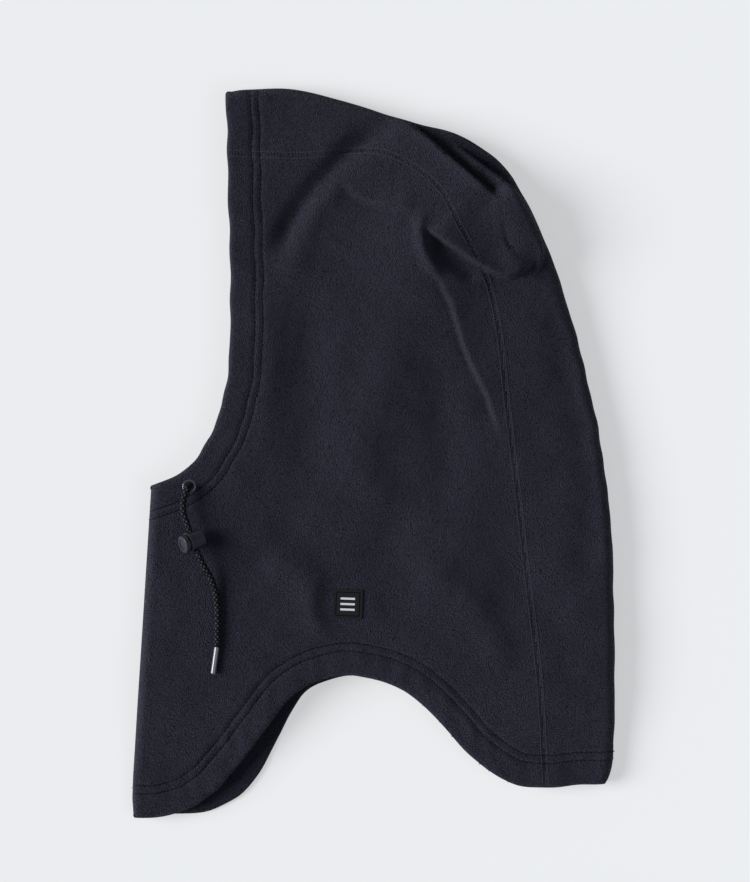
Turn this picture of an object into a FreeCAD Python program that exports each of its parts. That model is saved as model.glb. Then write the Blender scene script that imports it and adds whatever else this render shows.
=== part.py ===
"""Fleece balaclava with a drawcord round its face opening, lying flat on its right side.

The hood is cut from two pieces of fleece: a main panel, folded at the centre front so that it makes both
cheeks and the chest bib, and a centre panel that runs from the forehead over the crown to the nape. Flat-lock
seams join them. The face edge and the neck edge are turned in and sewn with a twin needle. The face hem is
a tunnel for an elastic drawcord, whose left end leaves through an eyelet, passes a spring cord lock and ends
in a crimped metal tip. The cord's right end is sewn into the hem.

Frame: +X to the back of the head, +Y to the crown, +Z up from the surface that the hood lies on. The origin is
below the middle of the fleece. Lengths are in millimetres.
"""

import FreeCAD, Part
import math
import os

import Sketcher
from FreeCAD import Placement, Rotation, Vector

DIMENSIONS = [
    # alias, value, what it is
    ("fleece", 1.5, "thickness of one layer of fleece"),
    ("front_height", 18.6, "height of the upper layer over the face hem, cheek and bib"),
    ("crown_rise", 11.0, "how much higher the crown stands than the front"),
    ("crown_x", 46.0, "middle of the raised crown, along X"),
    ("crown_y", 132.0, "middle of the raised crown, along Y"),
    ("crown_reach_x", 76.0, "reach of the raised crown along X"),
    ("crown_reach_y", 78.0, "reach of the raised crown along Y"),
    ("neck_drop", 6.0, "how much lower the upper layer lies at the neck hem"),
    ("neck_drop_start", -135.0, "Y where the upper layer starts to fall to the neck hem"),
    ("neck_drop_end", -185.0, "Y where it has fallen all the way"),
    ("hem_depth", 19.2, "depth of the turned-in hems"),
    ("outer_row", 14.3, "distance of the first needle row from a hem's edge"),
    ("inner_row", 19.0, "distance of the second needle row from a hem's edge"),
    ("row_width", 1.0, "width of one sewn row"),
    ("seam_width", 4.6, "width of the flat-lock stitching on the crown seams"),
    ("thread_sink", 0.5, "depth that the stitching sinks into the fleece"),
    ("thread_proud", 0.15, "height of the stitching over the upper layer"),
    ("cord_width", 3.6, "diameter of the drawcord"),
    ("cord_play", 0.1, "gap between the drawcord and the tunnel's floor"),
    ("tunnel_height", 4.1, "height of the drawcord tunnel inside the face hem"),
    ("tunnel_end_y", 201.0, "Y where the hem's inner layer stops short of the crown fold"),
    ("eyelet_x", -108.5, "place of the eyelet along X"),
    ("eyelet_y", -18.7, "place of the eyelet along Y"),
    ("eyelet_bend", 2.5, "radius that the drawcord bends with as it comes up into the eyelet"),
    ("eyelet_rise", 3.4, "straight rise of the drawcord out of the eyelet"),
    ("eyelet_hole", 5.2, "diameter of the eyelet's hole"),
    ("eyelet_wall", 0.4, "wall of the eyelet's barrel"),
    ("eyelet_flange", 7.8, "diameter of the eyelet's flange and washer"),
    ("eyelet_sheet", 0.5, "thickness of the eyelet's flange"),
    ("eyelet_lip", 0.25, "rounding of the flange's rim"),
    ("washer_width", 7.4, "diameter of the eyelet's washer"),
    ("washer_sheet", 0.3, "thickness of the eyelet's washer"),
    ("eyelet_inset", 0.1, "how far the flange lies under the fleece's surface"),
    ("lock_width", 11.2, "diameter of the cord lock's barrel"),
    ("lock_length", 9.6, "length of the cord lock's barrel"),
    ("lock_collar", 12.0, "diameter of the collar at the barrel's mouth"),
    ("lock_collar_length", 1.2, "length of that collar"),
    ("lock_floor", 0.8, "thickness of the barrel's closed end"),
    ("lock_bore", 8.7, "diameter of the barrel's bore"),
    ("lock_edge", 0.9, "rounding of the barrel's closed end"),
    ("lock_hole", 4.4, "diameter of the cord's hole through the barrel"),
    ("lock_hole_depth", 3.7, "distance of the cord's hole from the barrel's mouth"),
    ("stem_width", 8.4, "diameter of the button's stem"),
    ("stem_length", 6.2, "length of the button's stem inside the barrel"),
    ("stem_slot_width", 4.2, "width of the stem's slot for the cord"),
    ("stem_slot_top", 0.3, "distance of the slot from the button's head"),
    ("stem_slot_end", 5.6, "distance of the slot's far end from the barrel's mouth"),
    ("button_width", 10.4, "diameter of the button's head"),
    ("button_rise", 2.4, "how far the head stands out of the barrel"),
    ("button_gap", 1.4, "clear travel under the head"),
    ("button_dish", 6.2, "diameter of the round dish in the head"),
    ("button_dish_depth", 0.35, "depth of that dish"),
    ("button_edge", 0.45, "rounding of the head's rim"),
    ("spring_width", 7.2, "outside diameter of the lock's spring"),
    ("spring_wire", 0.4, "diameter of the spring's wire"),
    ("spring_turns", 2.0, "turns of the spring"),
    ("lock_x", -105.6, "place where the cord crosses the lock, along X"),
    ("lock_y", -50.6, "place where the cord crosses the lock, along Y"),
    ("lock_over", 8.5, "height of that place over the fleece"),
    ("lock_heading", 200.0, "direction in degrees that the button faces, seen from above"),
    ("lock_tilt", 30.0, "degrees that the button's end is raised"),
    ("tip_width", 3.2, "diameter of the crimped metal tip"),
    ("tip_length", 15.8, "length of the crimped metal tip"),
    ("tip_edge", 0.7, "rounding of the tip's far end"),
    ("label_side", 17.2, "side of the square label"),
    ("label_sheet", 0.9, "thickness of the label"),
    ("label_corner", 1.2, "corner radius of the label"),
    ("label_x", -15.7, "middle of the label along X"),
    ("label_y", -87.8, "middle of the label along Y"),
    ("label_turn", -2.0, "degrees that the label is turned"),
    ("label_rim", 1.5, "distance of the label's sewn row from its edge"),
    ("label_row", 0.5, "width of the label's sewn row"),
    ("label_groove", 0.45, "depth of the groove that the row lies in"),
    ("label_groove_floor", 0.45, "height of that groove's floor over the label's back"),
    ("mark_length", 8.4, "length of each bar of the label's mark"),
    ("mark_width", 1.2, "width of each bar"),
    ("mark_pitch", 3.2, "distance between the bars"),
    ("mark_rise", 0.25, "height of the bars over the label"),
]

# Outlines, as points that smooth curves pass through. The first and last points of each lie outside the hood.
FACE_EDGE = [
    (-170, -33), (-129.3, -18.2), (-113, -11.8), (-103, -3.5), (-96.4, 8.2), (-91.2, 19.9), (-87.6, 31.6),
    (-84.4, 52), (-82.6, 84), (-83.2, 120), (-83.9, 165), (-84.6, 213), (-85, 245),
]
CROWN_AND_BACK = [
    (-125, 211), (-84, 213.6), (-50, 213.6), (-21, 207.4), (20, 195.2), (48, 187.4), (64, 178.5), (77, 167.5),
    (91, 145), (105, 113.6), (119, 69), (132.8, 8.2), (138.8, -38.6), (140.6, -85), (141.5, -140),
    (139.6, -190), (137, -235),
]
UPPER_NECK_EDGE = [
    (-190, -213), (-141.5, -214), (-124, -213), (-109, -208.6), (-95.5, -200), (-86, -190), (-74.3, -175.7),
    (-63.6, -161.2), (-51, -144.7), (-37.4, -135), (-14, -129.2), (13.5, -135), (27.5, -144.5),
    (41.6, -159.7), (55.6, -175), (69.6, -186), (83.7, -193), (98, -195), (116, -193.4), (138, -193), (190, -193),
]
LOWER_NECK_EDGE = [
    (-190, -210), (-141.5, -211), (-113, -211), (-97, -209.6), (-84.8, -204.8), (-77.8, -200), (-69, -190.7),
    (-55, -167.3), (-48.5, -155.6), (-41, -142.5), (-29, -134.5), (-12, -131.5), (13.5, -136.5), (27.5, -145.5),
    (41.6, -160.5), (55.6, -175.6), (69.6, -186.4), (83.7, -193), (98, -195), (116, -193.4), (138, -193),
    (190, -193),
]
FRONT_FOLD = [(-127.2, 16), (-129.3, -18.2), (-141.5, -214), (-143.9, -253)]
CROWN_SEAM = [
    (-130, 176), (-84, 176), (-43, 174.8), (-1, 177.6), (19, 170.6), (38.8, 154), (49, 134), (58.5, 117),
    (66.5, 100), (72.6, 73.7), (77.4, 31.6), (83, -15), (88.5, -62), (96.5, -132), (100.6, -194), (103, -235),
]
# The drawcord inside the face hem, from the left eyelet to the crown; it comes down the right layer the same way.
CORD_IN_HEM = [
    (-97.4, -8.6), (-89.6, 4.9), (-84, 17.4), (-80, 30), (-77, 46), (-75.3, 66), (-74.9, 92), (-75.5, 120),
    (-75.9, 150), (-76.8, 178),
]
# The free end of the drawcord, from above the eyelet to the lock and from the lock to the metal tip: places in
# plan, and heights over the bib.
CORD_TO_LOCK = [(-109.6, -21.2, 5.8), (-111.6, -27.3, 6.9), (-111.7, -33.8, 7.9)]
CORD_TO_TIP = [
    (-99.6, -65.2, 7.3), (-95.9, -71.6, 5.3), (-93.2, -79.0, 3.3), (-92.0, -87.6, 2.2), (-91.7, -96.6, 2.1),
    (-91.8, -105.0, 2.1),
]
CORD_END = (-92.2, -113.0, 2.1)
TIP_END = (-94.4, -128.8)
STRAIGHT_BEFORE_LOCK = 10.6
STRAIGHT_AFTER_LOCK = 9.6

FAR = 260.0  # a plan size outside the whole hood
TALL = 60.0  # a height over the whole hood
ARC_SHARE = 0.45  # share of the shorter run that an arc of the cord's route takes at each end

doc = FreeCAD.newDocument("balaclava")
sheet = doc.addObject("Spreadsheet::Sheet", "Sizes")
for row, (alias, value, meaning) in enumerate(DIMENSIONS, start=1):
    sheet.set(f"A{row}", meaning)
    sheet.set(f"B{row}", str(value))
    sheet.setAlias(f"B{row}", alias)
doc.recompute()


def size(alias):
    """The value of one of the sheet's cells."""
    return float(sheet.get(alias))


FLEECE = size("fleece")
FRONT = size("front_height")
HEM = size("hem_depth")
HEM_BULK = 2 * FLEECE + size("tunnel_height")
CORD_R = size("cord_width") / 2


# ---------------------------------------------------------------- outlines in plan


def smooth_curve(points):
    """A curve through points of the plan."""
    curve = Part.BSplineCurve()
    curve.interpolate([Vector(x, y, 0) for x, y in points])
    return curve


def moved_sideways(points, distance, samples=48):
    """The smooth curve through points, moved to its right-hand side by distance."""
    curve = smooth_curve(points)
    if abs(distance) < 1e-9:
        return curve
    first, last = curve.FirstParameter, curve.LastParameter
    shifted = []
    for i in range(samples + 1):
        u = first + (last - first) * i / samples
        along = curve.tangent(u)[0]
        place = curve.value(u) + Vector(along.y, -along.x, 0) * distance
        shifted.append((place.x, place.y))
    return smooth_curve(shifted)


def prism(curve, corners, low=-TALL, high=TALL):
    """The plan area between a curve and the corners that close it, as a tall solid."""
    start, end = curve.StartPoint, curve.EndPoint
    ring = [end] + [Vector(x, y, 0) for x, y in corners] + [start]
    edges = [curve.toShape()] + [Part.makeLine(a, b) for a, b in zip(ring, ring[1:])]
    face = Part.Face(Part.Wire(edges))
    face.translate(Vector(0, 0, low))
    return face.extrude(Vector(0, 0, high - low))


def behind_face(distance=0.0):
    """Everything further than distance from the face edge, on the side of the cloth."""
    curve = moved_sideways(FACE_EDGE, distance)
    return prism(curve, [(FAR, FAR), (FAR, -FAR), (-FAR, -FAR), (-FAR, curve.StartPoint.y)])


def inside_crown(distance=0.0):
    """Everything further than distance inside the crown and the back."""
    return prism(moved_sideways(CROWN_AND_BACK, distance), [(FAR, -FAR), (-FAR, -FAR), (-FAR, FAR / 2)])


def above_neck(points, distance=0.0):
    """Everything further than distance above a neck edge."""
    return prism(moved_sideways(points, -distance), [(FAR, FAR), (-FAR, FAR)])


def behind_front(distance=0.0):
    """Everything further than distance behind the centre-front fold."""
    edge = [(x + distance, y) for x, y in FRONT_FOLD]
    corners = [(FAR, -FAR), (FAR, FAR), (edge[0][0], FAR)]
    ring = [Vector(x, y, -TALL) for x, y in edge + corners]
    return Part.Face(Part.makePolygon(ring + ring[:1])).extrude(Vector(0, 0, 2 * TALL))


def outside_seam(distance=0.0):
    """The side of the crown seam that the centre panel is on, from distance inside it."""
    return prism(moved_sideways(CROWN_SEAM, distance), [(FAR, -FAR), (FAR, FAR), (-FAR, FAR), (-FAR, 176)])


def level(low, high):
    """Everything between two heights."""
    return Part.makeBox(2 * FAR, 2 * FAR, high - low, Vector(-FAR, -FAR, low))


# ---------------------------------------------------------------- the upper layer's surface


def eased(share):
    """A smooth step from 0 to 1."""
    share = min(1.0, max(0.0, share))
    return share * share * (3 - 2 * share)


def upper_height(x, y):
    """Height of the upper layer's outer side over the surface that the hood lies on."""
    across = (x - size("crown_x")) / size("crown_reach_x")
    along = (y - size("crown_y")) / size("crown_reach_y")
    crown = size("crown_rise") * max(0.0, 1 - across**2 - along**2) ** 2
    fall = (size("neck_drop_start") - y) / (size("neck_drop_start") - size("neck_drop_end"))
    return FRONT + crown - size("neck_drop") * eased(fall)


def clamped_knots(low, high, spans):
    """Evenly spaced knots, their multiplicities and the places of the poles, for a cubic direction."""
    knots = [low + (high - low) * i / spans for i in range(spans + 1)]
    whole = [low] * 3 + knots + [high] * 3
    poles = [sum(whole[i + 1 : i + 4]) / 3 for i in range(spans + 3)]
    return knots, [4] + [1] * (spans - 1) + [4], poles


def upper_surface():
    """The upper layer's outer side as one smooth face over the whole plan."""
    x_knots, x_repeats, xs = clamped_knots(-156, 156, 12)
    y_knots, y_repeats, ys = clamped_knots(-232, 232, 18)
    poles = [[Vector(x, y, upper_height(x, y)) for y in ys] for x in xs]
    surface = Part.BSplineSurface()
    surface.buildFromPolesMultsKnots(poles, x_repeats, y_repeats, x_knots, y_knots, False, False, 3, 3)
    return surface.toShape()


UPPER = upper_surface()


def upper_slab(top, bottom):
    """The layer between two distances from the upper surface, upwards positive."""
    face = UPPER.copy()
    face.translate(Vector(0, 0, top))
    return face.extrude(Vector(0, 0, bottom - top))


def common(first, *others):
    shape = first
    for other in others:
        shape = shape.common(other)
    return shape


def fused(*shapes):
    return shapes[0].multiFuse(list(shapes[1:])).removeSplitter()


# ---------------------------------------------------------------- the fleece


def plan(neck_edge):
    """The plan area of one layer of the hood."""
    return common(inside_crown(), behind_face(), above_neck(neck_edge), behind_front())


UPPER_PLAN = plan(UPPER_NECK_EDGE)
LOWER_PLAN = plan(LOWER_NECK_EDGE)
FACE_BAND = behind_face().cut(behind_face(HEM))
UPPER_NECK_BAND = above_neck(UPPER_NECK_EDGE).cut(above_neck(UPPER_NECK_EDGE, HEM))
LOWER_NECK_BAND = above_neck(LOWER_NECK_EDGE).cut(above_neck(LOWER_NECK_EDGE, HEM))
TUNNEL_BAND = common(
    behind_face(FLEECE).cut(behind_face(size("outer_row") - 1)), behind_front(FLEECE), inside_crown(FLEECE)
)
SHORT_OF_CROWN = Part.makeBox(2 * FAR, FAR + size("tunnel_end_y"), TALL, Vector(-FAR, -FAR, 0))
BELOW_UPPER = upper_slab(0, -FRONT - size("crown_rise")).common(level(0, TALL))
SEAM_BAND = outside_seam(size("seam_width") / 2).cut(outside_seam(-size("seam_width") / 2))


def layers(upper_plan, lower_plan):
    """Both layers of a panel with their turned-in hems."""
    return [
        common(upper_plan, upper_slab(0, -FLEECE)),
        common(upper_plan, UPPER_NECK_BAND, upper_slab(0, -2 * FLEECE)),
        common(upper_plan, FACE_BAND, SHORT_OF_CROWN, upper_slab(0, -HEM_BULK)),
        common(lower_plan, level(0, FLEECE)),
        common(lower_plan, LOWER_NECK_BAND, level(0, 2 * FLEECE)),
        common(lower_plan, FACE_BAND, SHORT_OF_CROWN, level(0, HEM_BULK)),
    ]


def tunnels():
    """The drawcord's tunnel in the upper and in the lower layer."""
    upper = common(TUNNEL_BAND, level(FRONT - HEM_BULK + FLEECE, FRONT - FLEECE))
    lower = common(TUNNEL_BAND, level(FLEECE, HEM_BULK - FLEECE))
    return upper, lower


def eyelet_seat():
    """The hole for the eyelet, with the fleece pressed down under its flange."""
    x, y = size("eyelet_x"), size("eyelet_y")
    barrel = size("eyelet_hole") / 2 + size("eyelet_wall")
    depth = size("eyelet_inset") + size("eyelet_sheet")
    hole = Part.makeCylinder(barrel, FLEECE + 1, Vector(x, y, FRONT - FLEECE - 0.5))
    return hole.fuse(Part.makeCylinder(size("eyelet_flange") / 2, depth + 1, Vector(x, y, FRONT - depth)))


def main_panel(stitching):
    """Both cheeks and the bib: one piece folded at the centre front."""
    side = outside_seam()
    front_wall = common(UPPER_PLAN, BELOW_UPPER).cut(behind_front(FLEECE))
    panel = fused(*layers(UPPER_PLAN.cut(side), LOWER_PLAN.cut(side)), front_wall)
    return panel.cut([*tunnels(), eyelet_seat(), *stitching])


def centre_panel(stitching):
    """The strip over the crown and down the back: it folds round the edge into both layers."""
    side = outside_seam()
    back_wall = common(UPPER_PLAN, BELOW_UPPER).cut(inside_crown(FLEECE))
    panel = fused(*layers(UPPER_PLAN.common(side), LOWER_PLAN.common(side)), back_wall.common(side))
    return panel.cut([*tunnels(), *stitching])


# ---------------------------------------------------------------- the stitching


def sewn(band, upper=True, lower=True):
    """Stitching along a plan band, sunk into the outside of one layer or both."""
    shapes = []
    if upper:
        shapes.append(common(UPPER_PLAN, band, upper_slab(size("thread_proud"), -size("thread_sink"))))
    if lower:
        shapes.append(common(LOWER_PLAN, band, level(0, size("thread_sink"))))
    return Part.makeCompound([solid for shape in shapes for solid in shape.Solids])


def face_row(distance):
    """One needle row round the face opening."""
    half = size("row_width") / 2
    band = behind_face(distance - half).cut(behind_face(distance + half))
    return sewn(band.cut(SEAM_BAND))


def neck_row(distance):
    """One needle row round the neck edge."""
    half = size("row_width") / 2
    solids = []
    for points, upper in ((UPPER_NECK_EDGE, True), (LOWER_NECK_EDGE, False)):
        band = above_neck(points, distance - half).cut(above_neck(points, distance + half))
        solids += sewn(band.cut(SEAM_BAND), upper, not upper).Solids
    return Part.makeCompound(solids)


# ---------------------------------------------------------------- the drawcord


def lock_frame():
    """The point where the cord crosses the lock, the cord's direction there and the way the button faces."""
    heading, tilt = math.radians(size("lock_heading")), math.radians(size("lock_tilt"))
    button = Vector(
        math.cos(tilt) * math.cos(heading), math.cos(tilt) * math.sin(heading), math.sin(tilt)
    )
    cord = Vector(-math.sin(heading), math.cos(heading), 0)
    crossing = Vector(size("lock_x"), size("lock_y"), FRONT + size("lock_over"))
    return crossing, cord, button


def turn_between(before, corner, after):
    """The angle that a route turns through at a corner."""
    return (corner - before).getAngle(after - corner)


def rounded_route(points, shares=None):
    """A wire of straight runs joined by tangent arcs, and the arcs' radii."""
    shares = shares or {}
    edges, radii, start = [], [], points[0]
    for i in range(1, len(points) - 1):
        before, corner, after = points[i - 1 : i + 2]
        turn = turn_between(before, corner, after)
        cut = shares.get(i, ARC_SHARE) * min((corner - before).Length, (after - corner).Length)
        radius = cut / math.tan(turn / 2)
        incoming, outgoing = (corner - before).normalize(), (after - corner).normalize()
        entry, leave = corner - incoming * cut, corner + outgoing * cut
        inward = (outgoing - incoming).normalize()
        middle = corner + inward * (radius / math.cos(turn / 2) - radius)
        if (entry - start).Length > 1e-6:
            edges.append(Part.LineSegment(start, entry).toShape())
        edges.append(Part.Arc(entry, middle, leave).toShape())
        radii.append(radius)
        start = leave
    if (points[-1] - start).Length > 1e-6:
        edges.append(Part.LineSegment(start, points[-1]).toShape())
    return Part.Wire(edges), radii


def cord_tube(name, points, shares=None):
    """A round tube of the cord's width along a route."""
    route, radii = rounded_route(points, shares)
    first = route.Edges[0]
    circle = Part.makeCircle(CORD_R, points[0], first.tangentAt(first.FirstParameter))
    tube = route.makePipeShell([Part.Wire([circle])], True, False)
    expected = math.pi * CORD_R**2 * route.Length
    print(f"{name}: {route.Length:.1f} mm long, radii {[round(r, 1) for r in radii]}")
    if abs(tube.Volume - expected) > 0.02 * expected:
        raise RuntimeError(f"{name}: volume {tube.Volume:.1f}, and its section times its length is {expected:.1f}")
    return tube


def cord_heights():
    """Heights of the cord's middle in the upper and in the lower tunnel."""
    over_floor = size("cord_play") + CORD_R
    return FRONT - HEM_BULK + FLEECE + over_floor, FLEECE + over_floor


def cord_joint():
    """Where the free end of the cord meets the part inside the hem, in the middle of the eyelet."""
    upper, _ = cord_heights()
    return Vector(size("eyelet_x"), size("eyelet_y"), upper + size("eyelet_bend"))


def over_bib(place):
    """A point from its place in plan and its height over the bib."""
    x, y, height = place
    return Vector(x, y, FRONT + height)


def hidden_cord():
    """The cord inside the hem: from the eyelet up to the crown, round its fold and down the right layer."""
    upper, lower = cord_heights()
    joint = cord_joint()
    fold_y = size("tunnel_end_y") + 8.2
    crown_x = CORD_IN_HEM[-1][0] - 0.3
    rising = [Vector(x, y, upper) for x, y in CORD_IN_HEM]
    falling = [Vector(x, y, lower) for x, y in reversed(CORD_IN_HEM)]
    below_eyelet = Vector(joint.x, joint.y, upper)
    points = [joint, below_eyelet, *rising]
    points += [Vector(crown_x, fold_y, upper), Vector(crown_x, fold_y, lower), *falling]
    points.append(Vector(-103.5, -13.4, lower))
    at_fold = len(rising) + 2
    shares = {1: 1.0, at_fold: 0.5, at_fold + 1: 0.5}
    return cord_tube("drawcord in the hem", points, shares)


def free_cord():
    """The free end: up out of the eyelet, through the lock and down over the bib to the metal tip."""
    joint = cord_joint()
    crossing, direction, _ = lock_frame()
    above = joint + Vector(0, 0, size("eyelet_rise"))
    before = crossing - direction * STRAIGHT_BEFORE_LOCK
    after = crossing + direction * STRAIGHT_AFTER_LOCK
    points = [joint, above, *map(over_bib, CORD_TO_LOCK), before, after, *map(over_bib, CORD_TO_TIP)]
    points.append(over_bib(CORD_END))
    return cord_tube("free drawcord", points)


# ---------------------------------------------------------------- turned and moulded pieces


def add_shape(label, shape):
    """A sub-part whose shape is computed from the sheet."""
    feature = doc.addObject("Part::Feature", label)
    feature.Label = label
    feature.Shape = shape
    feature.Placement = Placement()
    return feature


def new_body(label, placement):
    body = doc.addObject("PartDesign::Body", label)
    body.Label = label
    body.Placement = placement
    return body


def origin_plane(body, role):
    return next(f for f in body.Origin.OriginFeatures if f.Role == role)


def new_sketch(body, name, role):
    """A sketch on one of its body's origin planes."""
    sketch = body.newObject("Sketcher::SketchObject", name)
    sketch.AttachmentSupport = [(origin_plane(body, role), "")]
    sketch.MapMode = "FlatFace"
    return sketch


def bind(sketch, constraint, expression):
    """Adds a dimension to a sketch and binds it to the sheet."""
    index = sketch.addConstraint(constraint)
    sketch.setExpression(f"Constraints[{index}]", expression)


def half(alias):
    return [(0.5, alias)]


def plus(alias):
    return [(1.0, alias)]


def minus(alias):
    return [(-1.0, alias)]


def opposite(terms):
    return [(-factor, alias) for factor, alias in terms]


def value_of(terms):
    """The length that a sum of (factor, alias) terms comes to."""
    return sum(factor * size(alias) for factor, alias in terms)


def expression_of(terms):
    """The same sum as an expression on the sheet."""
    return " + ".join(f"{factor} * Sizes.{alias}" for factor, alias in terms)


def outline_sketch(body, name, role, corners):
    """A closed outline of straight lines whose corners are bound to the sheet.

    Each corner is two sums of terms, and an empty sum puts the corner on an axis.
    """
    sketch = new_sketch(body, name, role)
    places = [Vector(value_of(across), value_of(up), 0) for across, up in corners]
    count = len(places)
    for i in range(count):
        sketch.addGeometry(Part.LineSegment(places[i], places[(i + 1) % count]), False)
    for i in range(count):
        sketch.addConstraint(Sketcher.Constraint("Coincident", i, 2, (i + 1) % count, 1))
    for i, (across, up) in enumerate(corners):
        for kind, axis, terms, value in (
            ("DistanceX", -2, across, places[i].x),
            ("DistanceY", -1, up, places[i].y),
        ):
            if terms:
                bind(sketch, Sketcher.Constraint(kind, -1, 1, i, 1, value), expression_of(terms))
            else:
                sketch.addConstraint(Sketcher.Constraint("PointOnObject", i, 1, axis))
    return sketch


def turned(body, corners):
    """A revolution of an outline, radius across and height up, round the body's Z axis."""
    sketch = outline_sketch(body, body.Label + "_profile", "XZ_Plane", corners)
    turned_part = body.newObject("PartDesign::Revolution", body.Label + "_turned")
    turned_part.Profile = sketch
    turned_part.ReferenceAxis = (sketch, ["V_Axis"])
    turned_part.Angle = 360
    doc.recompute()
    return turned_part


def rounded(body, feature, alias, wanted):
    """A fillet on the feature's edges that wanted() picks."""
    names = [f"Edge{i}" for i, edge in enumerate(feature.Shape.Edges, start=1) if wanted(edge)]
    fillet = body.newObject("PartDesign::Fillet", f"{body.Label}_{alias}")
    fillet.Base = (feature, names)
    fillet.setExpression("Radius", f"Sizes.{alias}")
    doc.recompute()
    return fillet


def is_ring(edge, radius, height):
    """Whether an edge is a circle of that radius round the Z axis at that height."""
    curve = edge.Curve
    return (
        isinstance(curve, Part.Circle)
        and abs(curve.Radius - radius) < 1e-4
        and abs(curve.Center.z - height) < 1e-4
    )


def cut_through(body, sketch, name):
    """A pocket through the whole body, both ways from its sketch."""
    pocket = body.newObject("PartDesign::Pocket", name)
    pocket.Profile = sketch
    pocket.Type = 1
    pocket.Midplane = True
    before = body.Shape.Volume
    doc.recompute()
    if not body.Shape.Volume < before - 1:
        raise RuntimeError(f"{name} cuts nothing")
    return pocket


def eyelet():
    """The flanged metal eyelet: its flange is outside the fleece and its barrel goes into the tunnel."""
    place = Vector(size("eyelet_x"), size("eyelet_y"), FRONT - size("eyelet_inset"))
    body = new_body("eyelet", Placement(place, Rotation()))
    hole, flange, under = half("eyelet_hole"), half("eyelet_flange"), minus("eyelet_sheet")
    barrel = hole + plus("eyelet_wall")
    foot = minus("fleece") + minus("washer_sheet") + plus("eyelet_inset")
    part = turned(body, [(hole, []), (flange, []), (flange, under), (barrel, under), (barrel, foot), (hole, foot)])
    radii = (size("eyelet_hole") / 2, size("eyelet_flange") / 2)
    rounded(body, part, "eyelet_lip", lambda e: any(is_ring(e, r, 0) for r in radii))
    return body


def washer():
    """The flat ring that the eyelet's barrel is rolled over, on the fleece's inside."""
    place = Vector(size("eyelet_x"), size("eyelet_y"), FRONT - FLEECE)
    body = new_body("eyelet_washer", Placement(place, Rotation()))
    inner, outer, under = half("eyelet_hole") + plus("eyelet_wall"), half("washer_width"), minus("washer_sheet")
    turned(body, [(inner, []), (outer, []), (outer, under), (inner, under)])
    return body


def lock_placement():
    """Puts a body's Z axis along the lock, its origin at the barrel's mouth and its X axis along the cord."""
    crossing, cord, button = lock_frame()
    mouth = crossing + button * size("lock_hole_depth")
    return Placement(mouth, Rotation(cord, button.cross(cord), button, "ZXY"))


def lock_barrel():
    body = new_body("cord_lock_barrel", lock_placement())
    bore, outer, collar = half("lock_bore"), half("lock_width"), half("lock_collar")
    end, step = minus("lock_length"), minus("lock_collar_length")
    floor = end + plus("lock_floor")
    outside = [([], end), (outer, end), (outer, step), (collar, step), (collar, [])]
    part = turned(body, [*outside, (bore, []), (bore, floor), ([], floor)])
    rounded(body, part, "lock_edge", lambda e: is_ring(e, size("lock_width") / 2, -size("lock_length")))
    sketch = new_sketch(body, "cord_hole", "YZ_Plane")
    centre = Vector(0, -size("lock_hole_depth"), 0)
    sketch.addGeometry(Part.Circle(centre, Vector(0, 0, 1), size("lock_hole") / 2), False)
    sketch.addConstraint(Sketcher.Constraint("PointOnObject", 0, 3, -2))
    bind(sketch, Sketcher.Constraint("DistanceY", -1, 1, 0, 3, centre.y), "-Sizes.lock_hole_depth")
    bind(sketch, Sketcher.Constraint("Diameter", 0, size("lock_hole")), "Sizes.lock_hole")
    cut_through(body, sketch, "cord_hole_cut")
    return body


def lock_button():
    """The button: a dished head on a stem with a slot that the cord passes through."""
    body = new_body("cord_lock_button", lock_placement())
    stem, head, dish = half("stem_width"), half("button_width"), half("button_dish")
    end, under = minus("stem_length"), plus("button_gap")
    face = under + plus("button_rise")
    dished = face + minus("button_dish_depth")
    outside = [([], end), (stem, end), (stem, under), (head, under), (head, face)]
    part = turned(body, [*outside, (dish, face), (dish, dished), ([], dished)])
    top = size("button_gap") + size("button_rise")
    rounded(body, part, "button_edge", lambda e: is_ring(e, size("button_width") / 2, top))
    side, deep, shallow = half("stem_slot_width"), minus("stem_slot_end"), minus("stem_slot_top")
    corners = [(opposite(side), deep), (side, deep), (side, shallow), (opposite(side), shallow)]
    slot = outline_sketch(body, "cord_slot", "YZ_Plane", corners)
    cut_through(body, slot, "cord_slot_cut")
    return body


def lock_spring():
    """The coil spring between the button's stem and the barrel's closed end."""
    wire_r = size("spring_wire") / 2
    radius = size("spring_width") / 2 - wire_r
    floor = -size("lock_length") + size("lock_floor")
    room = -size("stem_length") - floor
    pitch = (room - 2 * wire_r - 0.1) / size("spring_turns")
    steps = 12
    angles = [2 * math.pi * i / steps for i in range(round(steps * size("spring_turns")) + 1)]
    places = [Vector(radius * math.cos(a), radius * math.sin(a), pitch * a / (2 * math.pi)) for a in angles]
    curve = Part.BSplineCurve()
    curve.interpolate(places)
    wire = Part.Wire([curve.toShape()])
    section = Part.makeCircle(wire_r, places[0], curve.tangent(curve.FirstParameter)[0])
    coil = wire.makePipeShell([Part.Wire([section])], True, False)
    feature = add_shape("cord_lock_spring", coil)
    seat = Placement(Vector(0, 0, floor + wire_r + 0.05), Rotation())
    feature.Placement = lock_placement().multiply(seat)
    return feature


def cord_tip():
    """The metal tip crimped over the cord's end, with a rounded far end."""
    mouth = over_bib(CORD_END)
    far = Vector(*TIP_END, mouth.z)
    body = new_body("cord_tip", Placement(mouth, Rotation(Vector(0, 0, 1), far - mouth)))
    radius, end = half("tip_width"), plus("tip_length")
    part = turned(body, [([], []), (radius, []), (radius, end), ([], end)])
    rounded(body, part, "tip_edge", lambda e: is_ring(e, size("tip_width") / 2, size("tip_length")))
    return body


def label_placement(height):
    turn = Rotation(Vector(0, 0, 1), size("label_turn"))
    return Placement(Vector(size("label_x"), size("label_y"), height), turn)


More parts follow.
